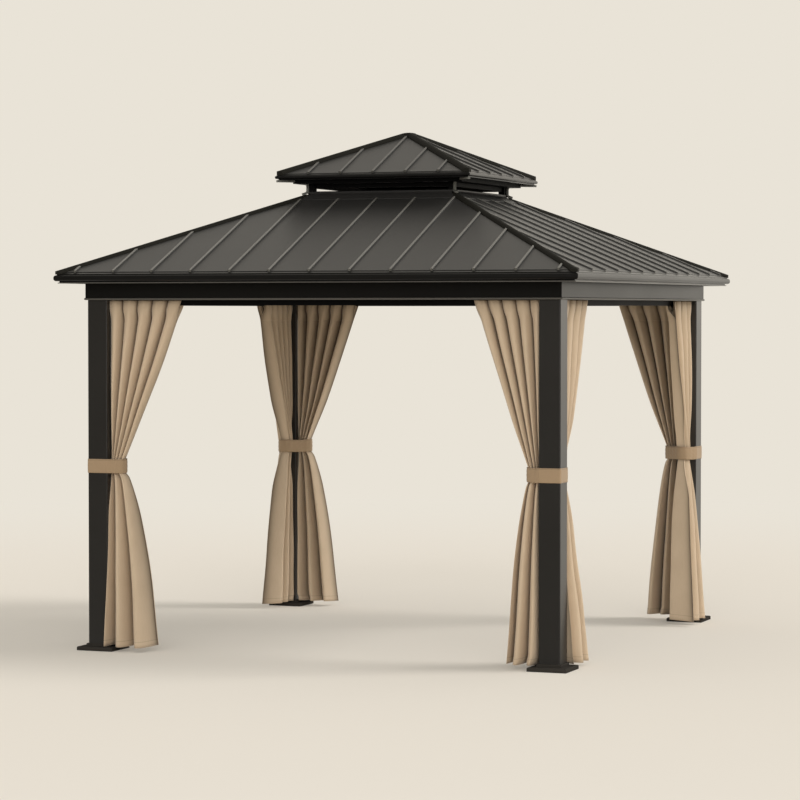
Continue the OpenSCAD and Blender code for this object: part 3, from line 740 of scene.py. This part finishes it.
def tie_band(node, side_x, side_y, seed):
    """A sewn band pulled round the post and the two bunches beside it.

    With w across the band from -1 to 1, it bulges by b (1 - w^2). On the cloth it also puckers, and its
    edges wave."""
    corner = 7 * MM
    reach = POST_HALF + 1.8 * MM - corner
    bunch_at = POST_HALF + BUNCH_HALF
    bunch_radius = 44.5 * MM
    discs = [
        (-reach, -reach, corner),
        (reach, -reach, corner),
        (-reach, reach, corner),
        (bunch_at, BUNCH_IN, bunch_radius),
        (BUNCH_IN, bunch_at, bunch_radius),
    ]
    rows, columns = 14, 220
    plan, length = taut_loop(discs, columns)
    up = np.linspace(-1, 1, rows)[:, None]
    around = np.linspace(0, 1, columns, endpoint=False)[None, :]
    tangent = np.roll(plan, -1, axis=0) - np.roll(plan, 1, axis=0)
    tangent = tangent / np.linalg.norm(tangent, axis=1, keepdims=True)
    normal = np.stack([tangent[:, 1], -tangent[:, 0]], axis=-1)
    # 0 where the band lies on the post, 1 where it lies on the cloth
    soft = np.clip((plan.max(axis=1) - POST_HALF) / (20 * MM), 0, 1)[None, :]
    puckers = 1.3 * MM * soft * np.sin(2 * np.pi * (19 * around + 0.8 * up)) * np.sin(5 * up + seed)
    bulge = 1.2 * MM * (1 - up**2) + puckers
    ring = plan[None, :, :] + normal[None, :, :] * (bulge + 0.2 * MM)[..., None]
    half = (TIE_HIGH - TIE_LOW) / 2 - 1 * MM
    z = (TIE_LOW + TIE_HIGH) / 2 + half * up + 1.6 * MM * soft * np.sin(2 * np.pi * 3 * around + seed)
    points = np.concatenate([ring, z[..., None]], axis=-1)
    uv = np.stack(np.broadcast_arrays(around * length, up * half), axis=-1)
    placed = place_at_post(points, side_x, side_y)
    flip = side_x * side_y < 0
    made = mesh_from_grid("band_" + node, outward(placed, flip), outward(uv, flip), loop=True)
    thicken(made, 2.2 * MM, "polyester_woven_band")
    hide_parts(node)
    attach(made, "root")
    return made


# ---- operators ---------------------------------------------------------------------------


class GAZEBO_OT_coat_frame(bpy.types.Operator):
    """Give the posts, beams, feet, trims and roof frame their paint"""

    bl_idname = "gazebo.coat_frame"
    bl_label = "Coat Frame"

    def execute(self, context):
        colours = context.scene.gazebo_colours
        # for each coat its colour, roughness, specular level and the starts of its pieces' names
        coats = {
            "posts": (colours.post, 0.3, 0.5, ("post_",)),
            # the beams' colour carries painted shade from the eaves
            "beams": (colours.beam, 0.32, 0.19, ("beam_",)),
            "feet": (colours.foot, 0.8, 0.0, ("foot_",)),
            "trims": (colours.trim, 0.32, 0.42, ("eave_trim", "cupola_trim")),
            "caps": (colours.cap, 0.6, 0.03, ("hip_caps", "cupola_caps")),
            # the arms' colour is a painted highlight
            "arms": (colours.arm_highlight, 0.4, 0.5, ("corner_arms",)),
            # the roof frame's colour carries painted shade under the roof
            "inside": (colours.inside, 0.6, 0.12, (
                "curtain_rails",
                "hip_rafters",
                "middle_rafters",
                "neck_frame",
                "vent_frame",
                "cupola_soffit",
                "cupola_rafters",
            )),
        }
        # level bands of painted highlight and painted shade on some coats
        edges = {
            # a painted highlight along the beams' lower bead
            "beams": [(BEAM_LOW + 5 * MM, 5 * MM, colours.painted_edge_tone, 0.6)],
            "trims": [
                # a painted highlight along the eave trim's lip
                (ROOF[0].z + 2.5 * MM, 4 * MM, colours.painted_edge_tone, 0.6),
                # painted shade in the eave trim's groove, and near the lower edge of the cupola trim
                (ROOF[0].z + 12 * MM, 4 * MM, colours.painted_trim_shade, 0.9),
                (CUPOLA[0].z + 6 * MM, 3 * MM, colours.painted_trim_shade, 0.9),
            ],
        }
        for part, (colour, rough, shine, starts) in coats.items():
            coat = powder_coat(f"steel_powder_coated_{part}", colour, rough, shine, edges.get(part, ()))
            for node, piece in NODES.items():
                if node.startswith(starts):
                    repaint(piece, coat)
        return {"FINISHED"}


class GAZEBO_OT_coat_roof(bpy.types.Operator):
    """Give the roof sheets and the neck flashing their coil coat"""

    bl_idname = "gazebo.coat_roof"
    bl_label = "Coat Roof"

    def execute(self, context):
        colours = context.scene.gazebo_colours
        # each tier's spacing of ribs and the colour of their painted highlight
        tiers = {
            "roof": ((ROOF[1].x - ROOF[0].x) / PANS, colours.rib),
            "cupola": ((CUPOLA[1].x - CUPOLA[0].x) / UPPER_PANS, colours.upper_rib),
        }
        for tier, (spacing, highlighted) in tiers.items():
            for axis, sides in {"X": ("front", "back"), "Y": ("left", "right")}.items():
                name = f"steel_coil_coated_{tier}_{'_'.join(sides)}"
                coat = coil_coat(name, colours.sheet, (axis, spacing, highlighted))
                for side in sides:
                    repaint(NODES[f"{tier}_{side}"], coat)
        repaint(NODES["neck_flashing"], coil_coat("steel_coil_coated_flashing", colours.sheet))
        return {"FINISHED"}


class GAZEBO_OT_hang_curtains(bpy.types.Operator):
    """Hang the eight gathered curtains"""

    bl_idname = "gazebo.hang_curtains"
    bl_label = "Hang Curtains"

    def execute(self, context):
        colour = context.scene.gazebo_colours.cloth
        for side in ("outside", "inside"):
            name = f"polyester_woven_curtain_{side}"
            woven_polyester(name, colour, HUNG_LENGTH - HEM_STITCH, side)
        seed = 3
        for end, side_y in SIDES_Y.items():
            for side, side_x in SIDES_X.items():
                hang_curtain(f"curtain_{end}_{side}", side_x, side_y, False, seed)
                hang_curtain(f"curtain_{side}_{end}", side_x, side_y, True, seed + 1)
                seed += 2
        return {"FINISHED"}


class GAZEBO_OT_tie_bands(bpy.types.Operator):
    """Pull a band round each post and its curtains"""

    bl_idname = "gazebo.tie_bands"
    bl_label = "Tie Bands"

    def execute(self, context):
        edge = (TIE_HIGH - TIE_LOW) / 2 - BAND_STITCH
        woven_polyester("polyester_woven_band", context.scene.gazebo_colours.band, edge)
        for i, (end, side_y) in enumerate(SIDES_Y.items()):
            for j, (side, side_x) in enumerate(SIDES_X.items()):
                tie_band(f"tie_{end}_{side}", side_x, side_y, 2 * i + j)
        return {"FINISHED"}


class GAZEBO_OT_set_studio(bpy.types.Operator):
    """Lay the paper floor, light it and set up the camera"""

    bl_idname = "gazebo.set_studio"
    bl_label = "Set Studio"

    def execute(self, context):
        scene = context.scene
        studio = scene.gazebo_studio
        colour = scene.gazebo_colours.studio
        span = np.linspace(-1, 1, 3) * FLOOR_HALF
        x, y = np.meshgrid(span, span)
        floor = mesh_from_grid("studio_floor", np.stack([x, y, np.full_like(x, -FLOOR_DROP)], axis=-1))
        floor.data.materials.append(studio_paper("paper_matt_sweep", colour, studio.turn))

        scene.world = studio_world("studio", colour, studio.fill, studio.turn)
        wide, beside, high = (math.radians(degrees) for degrees in (26, 88, 40))
        soft_sun("key_light", studio.key, wide, studio.turn + beside, high, (1, 0.985, 0.965))
        wide, high = (math.radians(degrees) for degrees in (50, 17))
        soft_sun("front_light", studio.front, wide, studio.turn, high, (1, 0.99, 0.98))
        away = np.array([-math.sin(studio.turn), math.cos(studio.turn), 0])
        right = np.array([math.cos(studio.turn), math.sin(studio.turn), 0])
        camera = bpy.data.objects.new("camera", bpy.data.cameras.new("camera"))
        camera.location = -away * studio.distance - right * studio.aside + np.array([0, 0, studio.height])
        camera.rotation_euler = (math.pi / 2 - studio.dip, 0, studio.turn)
        camera.data.lens = studio.lens
        camera.data.clip_end = 400
        scene.collection.objects.link(camera)
        scene.camera = camera
        scene.view_settings.view_transform = "Standard"
        return {"FINISHED"}


class GAZEBO_PT_panel(bpy.types.Panel):
    """Steps of the gazebo's finish"""

    bl_label = "Hardtop Gazebo"
    bl_idname = "GAZEBO_PT_panel"
    bl_space_type = "VIEW_3D"
    bl_region_type = "UI"
    bl_category = "Gazebo"

    def draw(self, context):
        scene = context.scene
        for settings in (scene.gazebo_colours, scene.gazebo_curtain, scene.gazebo_studio):
            for name in settings.__annotations__:
                self.layout.prop(settings, name)
        for step in STEPS:
            self.layout.operator(step.bl_idname)


STEPS = (
    GAZEBO_OT_coat_frame,
    GAZEBO_OT_coat_roof,
    GAZEBO_OT_hang_curtains,
    GAZEBO_OT_tie_bands,
    GAZEBO_OT_set_studio,
)
GROUPS = (GazeboColours, CurtainSettings, StudioSettings)


def register():
    for cls in (*GROUPS, *STEPS, GAZEBO_PT_panel):
        bpy.utils.register_class(cls)
    bpy.types.Scene.gazebo_colours = PointerProperty(type=GazeboColours)
    bpy.types.Scene.gazebo_curtain = PointerProperty(type=CurtainSettings)
    bpy.types.Scene.gazebo_studio = PointerProperty(type=StudioSettings)


def unregister():
    for name in ("gazebo_colours", "gazebo_curtain", "gazebo_studio"):
        delattr(bpy.types.Scene, name)
    for cls in reversed((*GROUPS, *STEPS, GAZEBO_PT_panel)):
        bpy.utils.unregister_class(cls)


def main():
    """Runs every step in order."""
    register()
    bpy.ops.gazebo.coat_frame()
    bpy.ops.gazebo.coat_roof()
    bpy.ops.gazebo.hang_curtains()
    bpy.ops.gazebo.tie_bands()
    bpy.ops.gazebo.set_studio()


if __name__ == "__main__":
    main()
